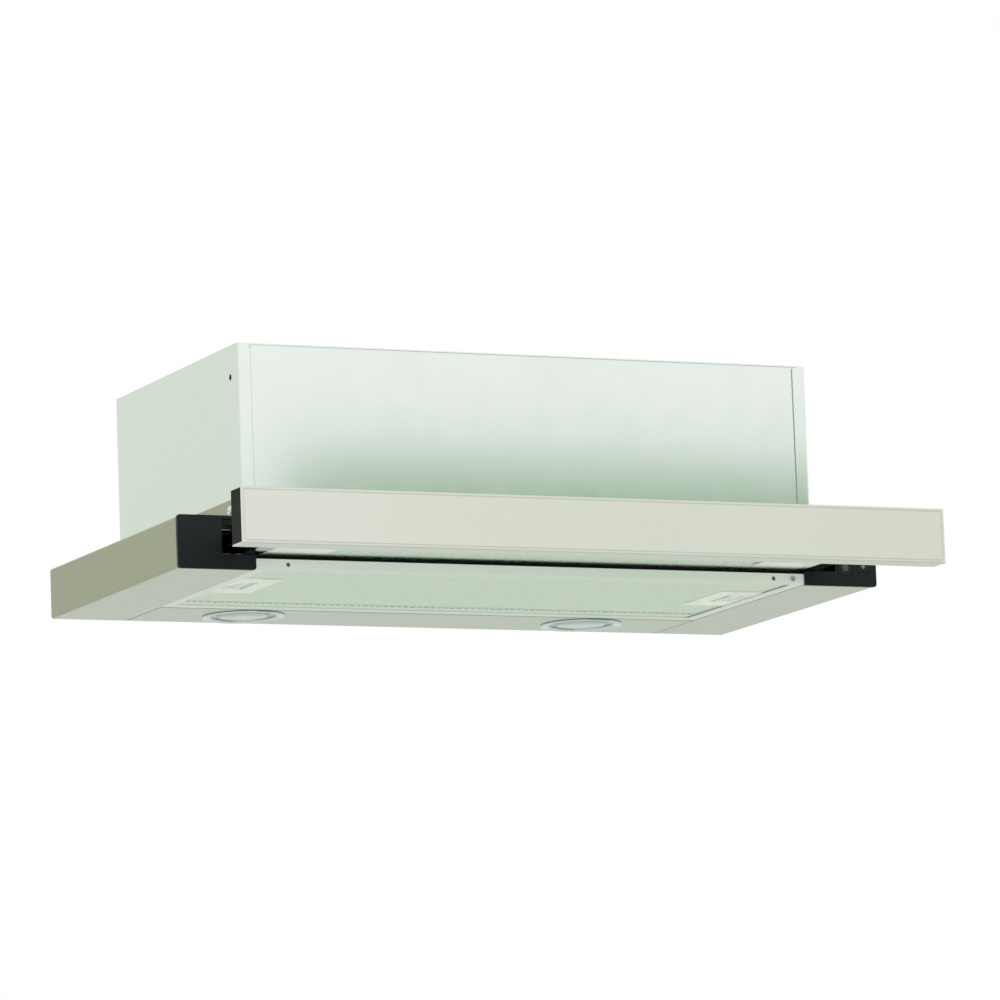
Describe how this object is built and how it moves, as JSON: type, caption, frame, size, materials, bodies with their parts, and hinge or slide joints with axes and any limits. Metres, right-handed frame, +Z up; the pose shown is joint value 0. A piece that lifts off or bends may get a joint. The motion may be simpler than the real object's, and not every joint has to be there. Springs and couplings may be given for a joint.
{
  "type": "pull out range hood",
  "caption": "Cabinet range hood with a slide-out fascia drawer on ball slides, grease filters, two downlights and a scroll blower behind a flapped duct collar.",
  "frame": {"origin": "middle of the rear bottom edge, in the plane of the wall that the frame stands against", "axes": "+X to the right as seen from the front, -Y out of the front (the way the drawer opens), +Z up"},
  "size_m": [0.601, 0.405, 0.1975],
  "materials": {
    "casing_steel": "satin, faint green-grey",
    "rail_steel": "matte, warm grey",
    "white_enamel": "satin white",
    "black_plastic": "fine moulded grain",
    "fascia_steel": "smooth satin, fine pressed line round the face",
    "zinc_steel": "zinc plated",
    "screw_steel": "zinc plated",
    "ball_steel": "polished",
    "cage_plastic": "moulded",
    "filter_aluminium": "expanded mesh in a folded rim",
    "latch_plastic": "pale grey, satin",
    "bezel_chrome": "bright",
    "lens_glass": "frosted",
    "lamp_aluminium": "cast, matte",
    "scroll_steel": "galvanised",
    "wheel_plastic": "moulded",
    "motor_steel": "grey paint",
    "duct_plastic": "moulded",
    "control_plastic": "satin black with pale pictograms"
  },
  "bodies": {
    "housing": {"rail_left": "rail_steel", "rail_right": "rail_steel", "end_cap_left": "black_plastic", "end_cap_right": "black_plastic", "casing_side_left": "casing_steel", "casing_side_right": "casing_steel", "casing_front_panel": "casing_steel", "casing_back_panel": "casing_steel", "casing_top_panel": "casing_steel", "filter_carrier": "white_enamel", "lamp_panel": "rail_steel", "lamp_bezel_left": "bezel_chrome", "lamp_bezel_right": "bezel_chrome", "lamp_lens_left": "lens_glass", "lamp_lens_right": "lens_glass", "lamp_housing_left": "lamp_aluminium", "lamp_housing_right": "lamp_aluminium", "slide_bracket_left": "zinc_steel", "slide_bracket_right": "zinc_steel", "slide_outer_left": "zinc_steel", "slide_outer_right": "zinc_steel", "scroll_left": "scroll_steel", "scroll_right": "scroll_steel", "motor_housing": "motor_steel", "motor_spider": "zinc_steel", "outlet_collar": "duct_plastic", "flap_pin": "zinc_steel", "switch_block": "duct_plastic", "terminal_box": "duct_plastic", "cable_gland": "duct_plastic", "housing_screws": "screw_steel"},
    "impeller": {"impeller_wheel": "wheel_plastic", "motor_shaft": "zinc_steel"},
    "front_flap": {"flap_front": "duct_plastic"},
    "back_flap": {"flap_back": "duct_plastic"},
    "drawer": {"fascia_panel": "fascia_steel", "fascia_back_plate": "zinc_steel", "fascia_cap_left": "black_plastic", "fascia_cap_right": "black_plastic", "drawer_side_left": "zinc_steel", "drawer_side_right": "zinc_steel", "drawer_rear_bar": "zinc_steel", "visor_filter_frame": "filter_aluminium", "visor_filter_mesh": "filter_aluminium", "visor_latches": "latch_plastic", "slide_inner_left": "zinc_steel", "slide_inner_right": "zinc_steel", "fascia_screws": "screw_steel"},
    "left_ball_cage": {"ball_cage_left": "cage_plastic", "slide_balls_left": "ball_steel"},
    "right_ball_cage": {"ball_cage_right": "cage_plastic", "slide_balls_right": "ball_steel"},
    "grease_filter": {"filter_frame": "filter_aluminium", "filter_mesh": "filter_aluminium", "latch_housing_left": "latch_plastic", "latch_housing_right": "latch_plastic"},
    "left_latch": {"latch_slider_left": "latch_plastic"},
    "right_latch": {"latch_slider_right": "latch_plastic"},
    "light_switch": {"light_button": "control_plastic"},
    "speed_control": {"speed_knob": "control_plastic"}
  },
  "joints": [
    {"name": "drawer_slide", "type": "slide", "parent": "housing", "child": "drawer", "axis": [0, -1, 0], "range_m": [-0.103, 0.05]},
    {"name": "left_cage_slide", "type": "slide", "parent": "housing", "child": "left_ball_cage", "axis": [0, -1, 0], "range_m": [-0.0515, 0.025]},
    {"name": "right_cage_slide", "type": "slide", "parent": "housing", "child": "right_ball_cage", "axis": [0, -1, 0], "range_m": [-0.0515, 0.025]},
    {"name": "filter_drop", "type": "slide", "parent": "housing", "child": "grease_filter", "axis": [0, 0, -1], "range_m": [0, 0.06]},
    {"name": "left_latch_slide", "type": "slide", "parent": "grease_filter", "child": "left_latch", "axis": [1, 0, 0], "range_m": [0, 0.006], "stiffness_N_per_m": 300},
    {"name": "right_latch_slide", "type": "slide", "parent": "grease_filter", "child": "right_latch", "axis": [-1, 0, 0], "range_m": [0, 0.006], "stiffness_N_per_m": 300},
    {"name": "light_push", "type": "slide", "parent": "housing", "child": "light_switch", "axis": [0, 1, 0], "range_m": [0, 0.0015], "stiffness_N_per_m": 1200},
    {"name": "speed_slide", "type": "slide", "parent": "housing", "child": "speed_control", "axis": [0, 0, 1], "range_m": [0, 0.011]},
    {"name": "impeller_spin", "type": "hinge", "parent": "housing", "child": "impeller", "pos_m": [0, -0.14, 0.109], "axis": [1, 0, 0], "continuous": true},
    {"name": "front_flap_hinge", "type": "hinge", "parent": "housing", "child": "front_flap", "pos_m": [0, -0.095, 0.187], "axis": [-1, 0, 0], "range_deg": [0, 75]},
    {"name": "back_flap_hinge", "type": "hinge", "parent": "housing", "child": "back_flap", "pos_m": [0, -0.095, 0.187], "axis": [1, 0, 0], "range_deg": [0, 75]}
  ],
  "couplings": [
    {"joint": "left_cage_slide", "follows": "drawer_slide", "ratio": 0.5},
    {"joint": "right_cage_slide", "follows": "drawer_slide", "ratio": 0.5}
  ]
}
